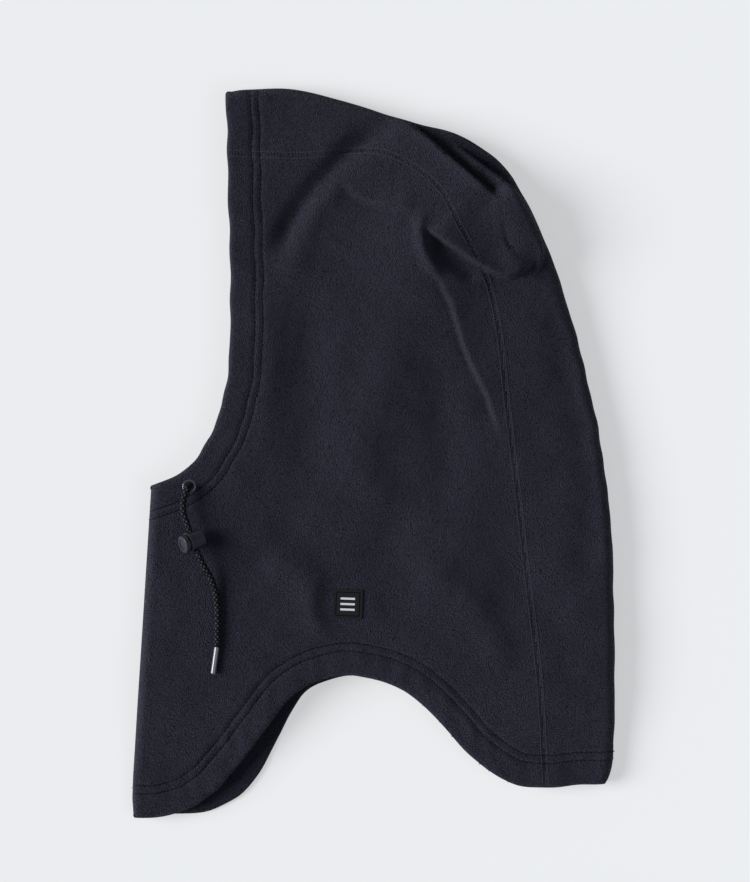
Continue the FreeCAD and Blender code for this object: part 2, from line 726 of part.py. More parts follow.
def rectangle(body, name, right, up, height=None):
    """A sketch of a rectangle round the origin, from its half sides, at a height that an alias gives."""
    left, down = opposite(right), opposite(up)
    sketch = outline_sketch(body, name, "XY_Plane", [(right, up), (left, up), (left, down), (right, down)])
    if height:
        sketch.setExpression("AttachmentOffset.Base.z", f"Sizes.{height}")
    return sketch


def extruded(body, sketch, kind, name, alias):
    """A pad or pocket of a sketch, with an alias for its length."""
    feature = body.newObject(kind, name)
    feature.Profile = sketch
    feature.setExpression("Length", f"Sizes.{alias}")
    doc.recompute()
    return feature


def label():
    """The square moulded label sewn to the left cheek, with a groove for its row of stitches."""
    body = new_body("label", label_placement(FRONT))
    edge = half("label_side")
    pad = extruded(body, rectangle(body, "label_outline", edge, edge), "PartDesign::Pad", "label_pad", "label_sheet")
    rounded(body, pad, "label_corner", lambda e: abs(e.BoundBox.ZLength - size("label_sheet")) < 1e-6)
    outer = edge + minus("label_rim")
    inner = outer + minus("label_row")
    outside = rectangle(body, "groove_outside", outer, outer, "label_sheet")
    extruded(body, outside, "PartDesign::Pocket", "groove", "label_groove")
    inside = rectangle(body, "groove_inside", inner, inner, "label_groove_floor")
    extruded(body, inside, "PartDesign::Pad", "groove_island", "label_groove")
    return body


def label_mark():
    """A plain mark of three equal bars moulded on the label."""
    length, width, pitch = size("mark_length"), size("mark_width"), size("mark_pitch")
    corner = Vector(-length / 2, -width / 2, 0)
    bars = [
        Part.makeBox(length, width, size("mark_rise"), corner + Vector(0, step * pitch, 0)) for step in (-1, 0, 1)
    ]
    feature = add_shape("label_mark", Part.makeCompound(bars))
    feature.Placement = label_placement(FRONT + size("label_sheet"))
    return feature


def label_stitching():
    """The row of stitches round the label, in its groove."""
    outer = size("label_side") / 2 - size("label_rim")
    inner = outer - size("label_row")
    tall = size("label_groove") + size("thread_proud")
    ring = Part.makeBox(2 * outer, 2 * outer, tall, Vector(-outer, -outer, 0))
    ring = ring.cut(Part.makeBox(2 * inner, 2 * inner, tall, Vector(-inner, -inner, 0)))
    feature = add_shape("label_stitching", ring)
    feature.Placement = label_placement(FRONT + size("label_groove_floor"))
    return feature


# ---------------------------------------------------------------- the whole hood

STITCHING = {
    "crown_seam_left": sewn(SEAM_BAND, lower=False),
    "crown_seam_right": sewn(SEAM_BAND, upper=False),
    "face_hem_outer_row": face_row(size("outer_row")),
    "face_hem_inner_row": face_row(size("inner_row")),
    "neck_hem_outer_row": neck_row(size("outer_row")),
    "neck_hem_inner_row": neck_row(size("inner_row")),
}
THREAD = list(STITCHING.values())

SUBPARTS = [
    add_shape("main_panel", main_panel(THREAD)),
    add_shape("centre_panel", centre_panel(THREAD)),
    *[add_shape(name, shape) for name, shape in STITCHING.items()],
    add_shape("drawcord_in_hem", hidden_cord()),
    add_shape("drawcord_free_end", free_cord()),
    eyelet(),
    washer(),
    lock_barrel(),
    lock_button(),
    lock_spring(),
    cord_tip(),
    label(),
    label_mark(),
    label_stitching(),
]
doc.recompute()

for item in doc.Objects:
    if {"Invalid", "Error"} & set(item.State):
        raise RuntimeError(f"{item.Label} failed: {item.State}")

os.makedirs("parts", exist_ok=True)
for part in SUBPARTS:
    shape = part.Shape
    if shape.isNull() or not shape.isValid() or not shape.Solids:
        raise RuntimeError(f"{part.Label} has no valid solid")
    shape.exportStep(f"parts/{part.Label}.step")
    box = shape.BoundBox
    print(f"{part.Label}: {len(shape.Solids)} solids, {shape.Volume:.1f} mm3, z {box.ZMin:.2f} to {box.ZMax:.2f}")
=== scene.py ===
"""A fleece balaclava that lies flat on its right side, with its drawcord and cord lock at the chin.

The fleece is one surface that runs over the upper layer, round the folded edges and under the lower layer.
Along the face and neck edges it turns in and makes the hems. Sizes are in millimetres until a mesh is made.
"""

import math

import bmesh
import bpy
import numpy as np
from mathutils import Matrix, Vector


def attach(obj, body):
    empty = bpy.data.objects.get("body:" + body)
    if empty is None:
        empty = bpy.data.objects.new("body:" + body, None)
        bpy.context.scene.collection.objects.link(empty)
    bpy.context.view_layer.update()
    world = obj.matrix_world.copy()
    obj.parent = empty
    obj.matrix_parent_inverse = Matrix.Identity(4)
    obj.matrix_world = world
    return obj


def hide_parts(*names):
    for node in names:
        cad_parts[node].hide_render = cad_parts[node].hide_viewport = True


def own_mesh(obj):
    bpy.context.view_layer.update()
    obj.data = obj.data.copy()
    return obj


MM = 0.001
GRID = 1.25  # spacing of the fleece's mesh
GRID_REACH = (150, 222)  # how far that mesh's grid goes from the middle along x and y
WELD = 0.02  # vertices closer than this are joined
FLEECE = 1.5  # thickness of one layer
FRONT = 18.6  # height of the upper layer over the cheek and bib
CROWN_RISE = 11.0  # how far the crown bulges above that
CROWN_MIDDLE = (46.0, 132.0)
CROWN_REACH = (76.0, 78.0)
NECK_DROP = 6.0  # how far the upper layer sinks towards the neck edge
NECK_DROP_FROM, NECK_DROP_TO = -135.0, -185.0
CROWN_ROUND, FRONT_ROUND = 6.5, 6.0  # how far the folded edges are rounded over
HEM_DEPTH = 19.2
FACE_TURN = 3.3  # radius that the face hem turns in with, round the drawcord
NECK_TURN = 1.6  # radius that the neck hem turns in with
HEM_ARC = (30, 60, 90)  # degrees of the turn that have a ring of vertices
HEM_FLAT = (0.25, 0.45, 0.65, 0.85, 1.0)  # shares of the flat part's depth that have one
NEEDLE_ROWS = {"outer": 14.3, "inner": 19.0}  # distance from the edge
GROOVE_DEPTH, GROOVE_WIDTH = 1.15, 0.95  # the dent along a needle row
PUCKER_HEIGHT, PUCKER_LENGTH = 0.28, 2.1  # the ripples that sewing pulls into a hem
PUCKER_PLACE, PUCKER_SPREAD = 11, 90  # where across the hem they are highest, and how softly they fade
SEAM_WIDTH = 3.4
SEAM_DENT, SEAM_DENT_WIDTH = 0.12, 2.0
TUCKED_FROM, TUCKED_TO = 104, 123  # the y values between which a pleat hides the upper seam

# How far stitches stand out of the upper layer, and of the lower one, where they are pressed in.
ROW_LIFT, ROW_LIFT_BELOW = 0.42, -0.32
SEAM_LIFT, SEAM_LIFT_BELOW = 0.16, -0.34
# Rings of a grain of thread: the share of its length and the share of its radius.
GRAIN_RINGS = [(0.0, 0.35), (0.12, 0.85), (0.5, 1.0), (0.88, 0.85), (1.0, 0.35)]

# Outlines seen from above. Each line goes on past the corners where it meets the next one.
FACE_EDGE = [
    (-170, -33), (-130.3, -17.8), (-114, -11), (-104, -2.6), (-97.6, 9), (-92.6, 20.4), (-89, 32),
    (-86, 52), (-84.4, 84), (-85.2, 120), (-86, 165), (-87.4, 213), (-88, 245),
]
CROWN_AND_BACK = [
    (-125, 203), (-96, 209.5), (-88, 212), (-79, 213.9), (-50, 214.6), (-21, 208), (20, 195.6), (48, 188),
    (64, 179), (77.2, 167.5), (91.4, 144.4), (105, 113), (119, 68.5), (132.6, 8), (138.8, -38.6),
    (140.7, -85), (141.3, -140), (140.2, -180), (138.8, -188), (135.4, -194.6), (129, -200), (118, -206),
]
UPPER_NECK_EDGE = [
    (-190, -213), (-141.5, -214), (-124, -213), (-109, -208.6), (-95.5, -200), (-86, -190), (-74.3, -175.7),
    (-63.6, -161.2), (-51, -144.7), (-37.4, -135), (-14, -129.6), (13.5, -136.8), (27.5, -146.6),
    (41.6, -161.8), (55.6, -176.8), (69.6, -188), (83.7, -194.6), (98, -196.2), (116, -194.6), (138, -194.2),
    (190, -194.2),
]
LOWER_NECK_EDGE = [
    (-190, -210), (-141.5, -211), (-113, -212.4), (-97, -210.6), (-84, -204.5), (-77, -199.4), (-68, -189),
    (-55.5, -165), (-49, -152.5), (-41, -140.5), (-29, -134), (-12, -131), (13.5, -137), (27.5, -146.5),
    (41.6, -161.5), (55.6, -176.6), (69.6, -187.9), (83.7, -194.3), (98, -196), (116, -194.4), (138, -194),
    (190, -194),
]
FRONT_FOLD = [
    (-138, -253), (-141.8, -214), (-142.6, -203), (-142.2, -190), (-137.6, -120), (-131.2, -18.2), (-129, 16),
]
CROWN_SEAM = [
    (-130, 176), (-84, 176), (-43, 174.8), (-1, 177.6), (19, 170.6), (38.8, 154), (49, 134), (58.5, 117),
    (66.5, 100), (72.6, 73.7), (77.4, 31.6), (83, -15), (88.5, -62), (96.5, -132), (100.6, -194), (103, -235),
]

# Pleats of the upper layer: the crease, then the lip's height and width on its left-hand side, the valley's
# depth and width on its right-hand side, and the width of the steep drop between them.
PLEATS = [
    (
        [(74, 147), (66, 153.7), (56, 162.4), (45.6, 171.2), (32.5, 183), (16.4, 195.6), (5, 204)],
        6.5, 6, 7.0, 7, 1.8,
    ),
    (
        [(93, 103), (97.5, 114), (97, 126), (91.5, 140), (83.6, 150.7), (73.4, 160.2), (61.7, 169),
         (52.9, 175.6), (43, 184)],
        7.5, 9, 6.0, 8, 1.8,
    ),
    (
        [(29, 137), (33, 130.5), (38, 126.6), (45.6, 121.5), (53, 116.5), (60, 112), (66, 108.3),
         (73.4, 105.4), (82.2, 105.2), (89.5, 109.8), (93, 116)],
        8.0, 12, 5.5, 10, 2.2,
    ),
    (
        [(33, 112), (38, 103), (41.2, 97.4), (45.6, 88.6), (49.3, 76.9), (54.4, 60.8), (60.2, 47.6),
         (66.1, 35.9), (71, 22), (75, 8)],
        3.2, 12, 2.6, 10, 3.0,
    ),
    ([(-18, 164), (-14, 158), (-9, 153), (0, 149), (10, 146.5), (19, 145.5), (27, 147)], 2.2, 8, 1.4, 8, 5.5),
]
FADE = 0.22  # share of a fold's line over which each of its ends fades out
# Ridges and valleys: the line, the height and the half width.
RIDGES = [
    ([(70, 156), (79, 143), (84.5, 130), (84, 114), (80, 104)], 4.5, 10.0),
    (
        [(18, 191), (-7, 183.5), (-17, 176), (-27, 165), (-37, 153), (-46, 141), (-54, 124), (-58, 108)],
        -6.5, 6.5,
    ),
    ([(28, 143), (26.8, 133), (27.2, 126), (29.5, 118), (33.9, 109), (39, 101)], 4.2, 3.6),
    ([(31, 129), (38, 120), (46, 112), (54, 106), (62, 101)], -4.5, 5.0),
    ([(-14, 172), (-24, 158), (-36, 140), (-44, 122), (-50, 95)], 2.4, 9.0),
    ([(60, 60), (78, 20), (92, -30)], 1.2, 9.0),
    ([(100, 100), (110, 60), (122, 10), (126, -40), (120, -90)], -2.4, 9.0),
    ([(-34, 110), (-40, 60), (-38, 10), (-50, -30)], -3.2, 13.0),
    ([(-64, 90), (-62, 40), (-66, 0)], 1.6, 8.0),
    ([(0, 100), (8, 50), (-4, 0), (10, -50)], 3.2, 14.0),
    ([(30, 70), (42, 20), (40, -40)], -3.0, 12.0),
    ([(-70, -60), (-40, -72), (-28, -110)], 3.6, 10.0),
    ([(-66, -40), (-30, -56), (30, -50)], -2.8, 12.0),
    ([(20, -60), (60, -90), (80, -130)], 3.4, 10.0),
    ([(66, -60), (100, -90), (118, -140)], -1.6, 10.0),
]
# Waves over a whole layer: the height, the wavelength and the seed.
UPPER_WAVES = [(1.5, 70, 1), (0.6, 26, 2), (0.12, 10, 3)]
LOWER_WAVES = [(0.3, 60, 11)]
EDGE_WAVELENGTH = 22
# Places where the fleece lies flat: the middle and the radius. The core is the share of the radius that is quite
# flat, and the blend the share over which the folds come back.
CALM_CORE, CALM_BLEND = 0.6, 0.8
CALM = [
    ((-15.7, -87.8), 17.0), ((-108, -25), 24.0), ((-106, -52), 22.0), ((-96, -80), 20.0), ((-93, -112), 24.0),
]

LABEL_PLACE, LABEL_TURN = (-15.7, -87.8), -2.0
LABEL_ROW = 6.85  # half a side of the square that the label's stitches make
LABEL_ROW_HEIGHT = FRONT + 0.95

LOCK_CROSSING = (-105.6, -50.6, 27.1)  # where the cord crosses the lock
LOCK_HEADING = 200.0  # how the cord runs there, in degrees anticlockwise from +y
LOCK_GRIP, LOCK_GRIP_REACH = 0.5, 9  # how far it presses the cord in, and how far along the cord

CORD_WIDTH = 3.6
BRAID_WIDTH = 3.95  # over the tops of the braid's strands
FREE_CORD_STEP, HEM_CORD_STEP = 0.3, 1.2  # distance between a cord's rings of vertices
CORD_JOINT = (-108.5, -18.7, 17.4)  # where the free cord goes on from the cord in the hem
CORD_RISE = 3.4  # how far it rises straight from there
STRAIGHT_BEFORE_LOCK, STRAIGHT_AFTER_LOCK = 10.6, 9.6
# Control points of the free cord, with their heights over the cheek.
CORD_TO_LOCK = [(-109.6, -21.2, 5.8), (-111.6, -27.3, 6.9), (-111.7, -33.8, 7.9)]
CORD_TO_TIP = [
    (-99.6, -65.2, 7.3), (-95.9, -71.6, 5.3), (-93.2, -79.0, 3.3), (-92.0, -87.6, 2.2), (-91.7, -96.6, 2.1),
    (-91.8, -105.0, 2.1), (-92.2, -113.0, 2.1),
]
# The cord in the hem: its way up the opening, where it passes to the lower layer, its end and its heights.
CORD_IN_HEM = [
    (-97.4, -8.6), (-89.6, 4.9), (-84, 17.4), (-80, 30), (-77, 46), (-75.3, 66), (-74.9, 92), (-75.5, 120),
    (-75.9, 150), (-76.8, 178),
]
HEM_CORD_PASSING = (-77.1, 209.2)
HEM_CORD_END = (-103.5, -13.4)
HEM_CORD_ABOVE, HEM_CORD_BELOW = FRONT - 3.7, 3.4

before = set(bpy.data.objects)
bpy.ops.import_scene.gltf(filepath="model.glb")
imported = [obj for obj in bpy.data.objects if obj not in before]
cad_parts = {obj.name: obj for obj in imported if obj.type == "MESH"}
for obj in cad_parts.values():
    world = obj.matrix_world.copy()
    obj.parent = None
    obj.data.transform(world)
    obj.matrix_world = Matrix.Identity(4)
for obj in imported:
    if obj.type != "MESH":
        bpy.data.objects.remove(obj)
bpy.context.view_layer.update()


# ---------------------------------------------------------------- lines


def smooth_line(points, step=4.0):
    """Points about a step apart on a smooth curve through the given ones."""
    given = np.array(points, float)
    given = np.vstack([2 * given[0] - given[1], given, 2 * given[-1] - given[-2]])
    out = []
    for a, b, c, d in zip(given, given[1:], given[2:], given[3:]):
        knots = np.cumsum([0, *np.sqrt(np.linalg.norm(np.diff([a, b, c, d], axis=0), axis=1))])
        count = max(2, round(float(np.linalg.norm(c - b)) / step))
        t = np.linspace(knots[1], knots[2], count, endpoint=False)[:, None]
        t0, t1, t2, t3 = knots
        ab = (t1 - t) / (t1 - t0) * a + (t - t0) / (t1 - t0) * b
        bc = (t2 - t) / (t2 - t1) * b + (t - t1) / (t2 - t1) * c
        cd = (t3 - t) / (t3 - t2) * c + (t - t2) / (t3 - t2) * d
        abc = (t2 - t) / (t2 - t0) * ab + (t - t0) / (t2 - t0) * bc
        bcd = (t3 - t) / (t3 - t1) * bc + (t - t1) / (t3 - t1) * cd
        out.append((t2 - t) / (t2 - t1) * abc + (t - t1) / (t2 - t1) * bcd)
    return np.vstack([*out, given[-2]])


def measure(line, places):
    """How places lie to a line in plan.

    Gives the signed distance (positive on the line's right), the nearest point, the right-hand normal there
    and the share of the line's length.
    """
    start, run = line[:-1], np.diff(line, axis=0)
    length = np.linalg.norm(run, axis=1)
    normal = np.stack([run[:, 1], -run[:, 0]], axis=1) / length[:, None]
    before = np.concatenate([[0], np.cumsum(length)[:-1]])
    total = length.sum()
    parts = []
    for some in np.array_split(places, max(1, len(places) // 8000)):
        to = some[:, None, :] - start[None]
        t = np.clip((to * run).sum(2) / length**2, 0, 1)
        nearest = start[None] + t[..., None] * run
        gap = np.linalg.norm(some[:, None, :] - nearest, axis=2)
        best = gap.argmin(1)
        pick = np.arange(len(some)), best
        side = np.where((to[pick] * normal[best]).sum(1) < 0, -1.0, 1.0)
        share = (before[best] + t[pick] * length[best]) / total
        parts.append((gap[pick] * side, nearest[pick], normal[best], share))
    return tuple(np.concatenate(column) for column in zip(*parts))


def running_length(line):
    """The length of a line up to each of its points."""
    return np.concatenate([[0], np.cumsum(np.linalg.norm(np.diff(line, axis=0), axis=1))])


def points_along(line, at):
    """The points of a line at some lengths along it."""
    length = running_length(line)
    return np.stack([np.interp(at, length, column) for column in line.T], axis=1)


def right_hand(line):
    """The normals on the right of a line's points."""
    run = np.gradient(line, axis=0)
    return np.stack([run[:, 1], -run[:, 0]], axis=1) / np.linalg.norm(run, axis=1)[:, None]


def offset_line(line, distance):
    """A line moved to its right by distance, with the loops that this can make left out."""
    slack = 0.05
    moved = line + right_hand(line) * distance
    gap = np.abs(measure(line, moved)[0])
    return moved[gap > abs(distance) - slack]


def waves(xy, scale, seed, count=9, spread=(0.7, 1.5), level=5):
    """Soft irregular waves, mostly between -1 and 1, with about the given wavelength."""
    rng = np.random.default_rng(seed)
    total = np.zeros(len(xy))
    for _ in range(count):
        angle, phase = rng.uniform(0, math.tau, 2)
        number = math.tau / (scale * rng.uniform(*spread))
        total += np.sin(number * (xy[:, 0] * math.cos(angle) + xy[:, 1] * math.sin(angle)) + phase)
    return total / level


def limp(line, height, seed):
    """A line with the small waves of a sewn edge."""
    return line + right_hand(line) * (height * waves(line, EDGE_WAVELENGTH, seed))[:, None]


LINES = {
    "face": limp(smooth_line(FACE_EDGE, 3.0), 0.6, 21),
    "crown": limp(smooth_line(CROWN_AND_BACK), 0.4, 22),
    "front": np.array(FRONT_FOLD, float),
    "upper_neck": limp(smooth_line(UPPER_NECK_EDGE)[::-1], 0.4, 23),
    "lower_neck": limp(smooth_line(LOWER_NECK_EDGE)[::-1], 0.4, 24),
    "seam": smooth_line(CROWN_SEAM),
}


# ---------------------------------------------------------------- the fleece's shape


def eased(share):
    """A soft step from 0 to 1."""
    share = np.clip(share, 0, 1)
    return share * share * (3 - 2 * share)


def rounded(share):
    """A quarter circle: 0 at an edge and 1 inside it."""
    share = np.clip(share, 0, 1)
    return np.sqrt(1 - (1 - share) ** 2)


def plain_height(xy):
    """Height of the upper layer without its folds."""
    across = (xy[:, 0] - CROWN_MIDDLE[0]) / CROWN_REACH[0]
    along = (xy[:, 1] - CROWN_MIDDLE[1]) / CROWN_REACH[1]
    crown = CROWN_RISE * np.maximum(0, 1 - across**2 - along**2) ** 2
    return FRONT + crown - NECK_DROP * eased((NECK_DROP_FROM - xy[:, 1]) / (NECK_DROP_FROM - NECK_DROP_TO))


def faded(share):
    """1 along most of a line and 0 at its ends."""
    return eased(share / FADE) * eased((1 - share) / FADE)


def wavy(xy, table):
    """The sum of a table's waves."""
    return sum(height * waves(xy, length, seed) for height, length, seed in table)


def folds(xy):
    """Pleats, ridges and waves of the upper layer."""
    total = wavy(xy, UPPER_WAVES)
    for points, lip, lip_width, valley, valley_width, drop in PLEATS:
        side, _, _, share = measure(smooth_line(points), xy)
        on_lip = lip * np.exp(np.minimum(side, 0) / lip_width)
        in_drop = lip - (lip + valley) * eased(side / drop)
        in_valley = -valley * np.exp(-np.maximum(side - drop, 0) / valley_width)
        shape = np.where(side < 0, on_lip, np.where(side < drop, in_drop, in_valley))
        total += shape * faded(share)
    for points, height, width in RIDGES:
        side, _, _, share = measure(smooth_line(points), xy)
        total += height * np.exp(-((side / width) ** 2)) * faded(share)
    calm = np.ones(len(xy))
    for middle, radius in CALM:
        distance = np.linalg.norm(xy - middle, axis=1)
        calm *= eased((distance - CALM_CORE * radius) / (CALM_BLEND * radius))
    return total * calm


def grooves(distance):
    """The dents of a hem's needle rows."""
    rows = NEEDLE_ROWS.values()
    return sum(GROOVE_DEPTH * np.exp(-(((distance - row) / GROOVE_WIDTH) ** 2)) for row in rows)


def neck_line(upper):
    """The name of a layer's neck edge."""
    return "upper_neck" if upper else "lower_neck"


def fields(xy, upper):
    """What a layer's height depends on: distances to the edges and the seam, and the plain shape."""
    out = {name: measure(LINES[name], xy)[0] for name in ("face", "crown", "front", "seam")}
    out["neck"] = measure(LINES[neck_line(upper)], xy)[0]
    out["opening"] = rounded(np.minimum(out["crown"] / CROWN_ROUND, out["front"] / FRONT_ROUND))
    out["plain"] = plain_height(xy)
    return out


def pucker(xy, near):
    """The ripples that sewing pulls into the hems."""
    total = np.zeros(len(xy))
    for edge, axis, seed in (("face", 1, 5), ("neck", 0, 6)):
        strength = np.exp(-((near[edge] - PUCKER_PLACE) ** 2) / PUCKER_SPREAD)
        drift = 2 * waves(xy, 30, seed)
        total += strength * np.sin(xy[:, axis] / PUCKER_LENGTH + drift)
    return PUCKER_HEIGHT * total


def layer_height(xy, upper, near, turned=False):
    """Height of a layer's outside; turned asks for the inner layer of its hems."""
    dent = grooves(near["face"]) + grooves(near["neck"])
    dent = dent + SEAM_DENT * np.exp(-((near["seam"] / SEAM_DENT_WIDTH) ** 2))
    if turned:
        dent = 0
    middle = near["plain"] / 2
    if upper:
        height = near["plain"] + folds(xy) + pucker(xy, near) - dent
        base = middle + (height - middle) * near["opening"]
    else:
        lifted = np.maximum(0, wavy(xy, LOWER_WAVES)) + dent
        base = middle * (1 - near["opening"]) + lifted * near["opening"]
    down = -1 if upper else 1
    if turned:
        turn = np.where(near["face"] < near["neck"], FACE_TURN, NECK_TURN)
        return base + down * 2 * turn * near["opening"]
    for edge, turn in (("face", FACE_TURN), ("neck", NECK_TURN)):
        base = base + down * turn * near["opening"] * (1 - rounded(near[edge] / turn))
    return base


def clipped_grid(neck):
    """A plan mesh of the hood whose border vertices lie on its edges, and each vertex's nearest edge."""
    xs, ys = (np.arange(-reach, reach, GRID) for reach in GRID_REACH)
    xy = np.stack(np.meshgrid(xs, ys), axis=2).reshape(-1, 2)
    names = ["face", "crown", "front", neck]
    found = [measure(LINES[name], xy) for name in names]
    distances = [side for side, _, _, _ in found]
    nearest_edge = np.argmin(distances, axis=0)
    inside = np.min(distances, axis=0)
    kept = inside > -GRID / 2
    border = kept & (inside < GRID / 2)
    for index, (_, nearest, _, _) in enumerate(found):
        here = border & (nearest_edge == index)
        xy[here] = nearest[here]
    for name in names:
        side, nearest, _, _ = measure(LINES[name], xy[border])
        xy[border] = np.where(side[:, None] < 0, nearest, xy[border])
    cells = np.arange(len(xy)).reshape(len(ys), len(xs))
    quads = np.stack([cells[:-1, :-1], cells[:-1, 1:], cells[1:, 1:], cells[1:, :-1]], axis=2).reshape(-1, 4)
    corners = kept[quads].sum(1)
    faces = [tuple(quad) for quad in quads[corners == 4]]
    faces += [tuple(v for v in quad if kept[v]) for quad in quads[corners == 3]]
    used = np.zeros(len(xy), bool)
    used[[v for face in faces for v in face]] = True
    renumbered = np.cumsum(used) - 1
    faces = [tuple(int(renumbered[v]) for v in face) for face in faces]
    return xy[used], faces, [names[i] for i in nearest_edge[used]]


def border_edges(faces):
    """The directed edges that only one face uses."""
    directed = [(a, b) for face in faces for a, b in zip(face, face[1:] + face[:1])]
    used = set(directed)
    return [(a, b) for a, b in directed if (b, a) not in used]


def inside_folds(xy):
    """Places kept two layers of fleece away from the folded edges."""
    for name in ("front", "crown"):
        side, _, inward, _ = measure(LINES[name], xy)
        xy = xy + inward * np.maximum(0, 2 * FLEECE - side)[:, None]
    return xy


def hem_rings(xy, heights, near, edge_names, rim, upper):
    """The turned-in hems as rings of vertices from the rim inwards: plan places and heights of each."""
    down = -1 if upper else 1
    inward = np.zeros((len(rim), 2))
    turn = np.zeros(len(rim))
    for name, radius in (("face", FACE_TURN), (neck_line(upper), NECK_TURN)):
        here = [i for i, v in enumerate(rim) if edge_names[v] == name]
        inward[here] = measure(LINES[name], xy[[rim[i] for i in here]])[2]
        turn[here] = radius
    rings = []
    for degrees in HEM_ARC:
        angle = math.radians(degrees)
        plan = xy[rim] + inward * (turn * (1 - math.cos(angle)))[:, None]
        rings.append((plan, heights[rim] + down * turn * near["opening"][rim] * math.sin(angle)))
    for share in HEM_FLAT:
        plan = inside_folds(xy[rim] + inward * (turn + (HEM_DEPTH - turn) * share)[:, None])
        rings.append((plan, layer_height(plan, upper, fields(plan, upper), turned=True)))
    return rings


def one_layer(upper):
    """Vertices and faces of a layer with its hems turned in, faces outwards."""
    neck = neck_line(upper)
    xy, faces, edge_names = clipped_grid(neck)
    near = fields(xy, upper)
    heights = layer_height(xy, upper, near)
    open_edges = [
        (a, b) for a, b in border_edges(faces) if {edge_names[a], edge_names[b]} <= {"face", neck}
    ]
    rim = sorted({v for edge in open_edges for v in edge})
    rings = hem_rings(xy, heights, near, edge_names, rim, upper)
    previous = {v: v for v in rim}
    count = len(xy)
    for _ in rings:
        current = {v: count + i for i, v in enumerate(rim)}
        faces += [(previous[b], previous[a], current[a], current[b]) for a, b in open_edges]
        previous, count = current, count + len(rim)
    plans = np.vstack([xy, *(plan for plan, _ in rings)])
    heights = np.concatenate([heights, *(height for _, height in rings)])
    if not upper:
        faces = [face[::-1] for face in faces]
    return np.column_stack([plans, heights]), faces


def make_mesh(name, vertices, faces):
    """A smoothly shaded object from vertices in millimetres."""
    mesh = bpy.data.meshes.new(name)
    mesh.from_pydata([tuple(v) for v in np.asarray(vertices) * MM], [], faces)
    mesh.update()
    mesh.shade_smooth()
    item = bpy.data.objects.new(name, mesh)
    bpy.context.scene.collection.objects.link(item)
    return item


def weld(item, distance):
    """Joins an object's vertices that lie closer than distance, in metres."""
    shape = bmesh.new()
    shape.from_mesh(item.data)
    bmesh.ops.remove_doubles(shape, verts=shape.verts, dist=distance)
    bmesh.ops.dissolve_degenerate(shape, edges=shape.edges, dist=1e-6)
    shape.to_mesh(item.data)
    shape.free()
    item.data.shade_smooth()


def fleece_panels():
    """The main panel and the centre panel, each over both layers."""
    upper, upper_faces = one_layer(True)
    lower, lower_faces = one_layer(False)
    vertices = np.vstack([upper, lower])
    faces = upper_faces + [tuple(v + len(upper) for v in face) for face in lower_faces]
    side = measure(LINES["seam"], vertices[:, :2])[0]
    centre = np.array([side[list(face)].mean() < 0 for face in faces])
    panels = []
    for name, picked in (("main_panel_cloth", ~centre), ("centre_panel_cloth", centre)):
        own = [face for face, use in zip(faces, picked) if use]
        used = sorted({v for face in own for v in face})
        renumbered = {v: i for i, v in enumerate(used)}
        item = make_mesh(name, vertices[used], [tuple(renumbered[v] for v in face) for face in own])
        weld(item, WELD * MM)
        thickness = item.modifiers.new("fleece", "SOLIDIFY")
        thickness.thickness = FLEECE * MM
        thickness.offset = -1
        thickness.use_even_offset = False
        panels.append(item)
    return panels


# ---------------------------------------------------------------- sewing


def spaced(line, pitch):
    """Points a pitch apart along a line, and the line's direction at each."""
    at = np.arange(pitch / 2, running_length(line)[-1], pitch)
    reach = 0.2
    run = points_along(line, at + reach) - points_along(line, at - reach)
    return points_along(line, at), run / np.linalg.norm(run, axis=1)[:, None]


def tube_faces(rings, sides):
    """The walls and the two ends of a tube whose vertices are numbered ring by ring."""
    walls = []
    for k in range(rings - 1):
        for i in range(sides):
            j = (i + 1) % sides
            walls.append((k * sides + i, k * sides + j, (k + 1) * sides + j, (k + 1) * sides + i))
    return walls, [tuple(range(sides))[::-1], tuple(range((rings - 1) * sides, rings * sides))]


def grain(start, end, radius, sides=6):
    """A rounded grain of thread between two points: vertices and faces."""
    axis = (end - start) / np.linalg.norm(end - start)
    across = np.cross(axis, (0, 0, 1.0))
    across /= np.linalg.norm(across)
    other = np.cross(axis, across)
    turn = np.arange(sides) * math.tau / sides
    circle = np.outer(np.cos(turn), across) + np.outer(np.sin(turn), other)
    vertices = np.vstack([start + (end - start) * t + circle * radius * r for t, r in GRAIN_RINGS])
    walls, ends = tube_faces(len(GRAIN_RINGS), sides)
    return vertices, ends + walls


def thread_mesh(name, grains):
    """One mesh of many grains of thread, each given as (start, end, radius)."""
    vertices, faces, count = [], [], 0
    for start, end, radius in grains:
        some, own = grain(np.array(start), np.array(end), radius)
        vertices.append(some)
        faces += [tuple(v + count for v in face) for face in own]
        count += len(some)
    return make_mesh(name, np.vstack(vertices), faces)


def on_layer(xy, upper, lift):
    """Points on a layer's outside, moved out of it by lift."""
    height = layer_height(xy, upper, fields(xy, upper))
    return np.column_stack([xy, height + (lift if upper else -lift)])


def kept_on_cloth(xy, upper, margin=0.4):
    """Which places lie inside the cloth's edges by more than the margin."""
    near = fields(xy, upper)
    return np.min([near[name] for name in ("face", "crown", "front", "neck")], axis=0) > margin


def stitches(points, reach, upper, lift, radius):
    """Grains of thread on a layer, each reaching as far on both sides of its point."""
    starts = on_layer(points - reach, upper, lift)
    ends = on_layer(points + reach, upper, lift)
    return [(start, end, radius) for start, end in zip(starts, ends)]


def needle_row(edge, distance, upper, pitch=2.7, length=2.3, radius=0.26):
    """The stitches of one needle row on one layer."""
    points, along = spaced(offset_line(LINES[edge], distance), pitch)
    use = kept_on_cloth(points, upper)
    lift = ROW_LIFT if upper else ROW_LIFT_BELOW
    return stitches(points[use], along[use] * length / 2, upper, lift, radius)


